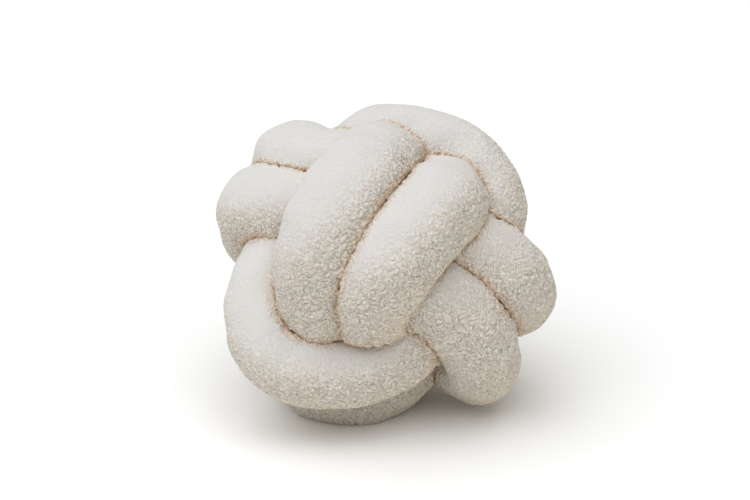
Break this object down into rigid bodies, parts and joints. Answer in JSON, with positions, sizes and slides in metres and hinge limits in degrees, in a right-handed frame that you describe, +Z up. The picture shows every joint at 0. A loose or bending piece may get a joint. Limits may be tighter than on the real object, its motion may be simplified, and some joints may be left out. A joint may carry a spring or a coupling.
{
  "type": "knot cushion",
  "caption": "Round knotted cushion in curly fleece: one stuffed tube tied into a ball, standing on small flats.",
  "frame": {"origin": "on the surface it rests on, under the middle of the cushion's box", "axes": "+Z up from the surface it rests on; -Y towards the front, where the pair of leaning turns shows; +X to the right seen from the front"},
  "size_m": [0.3026, 0.2942, 0.2731],
  "materials": {
    "curly_fleece": "matte curly pile"
  },
  "bodies": {
    "root": {"stuffed_tube": "curly_fleece"}
  },
  "joints": []
}
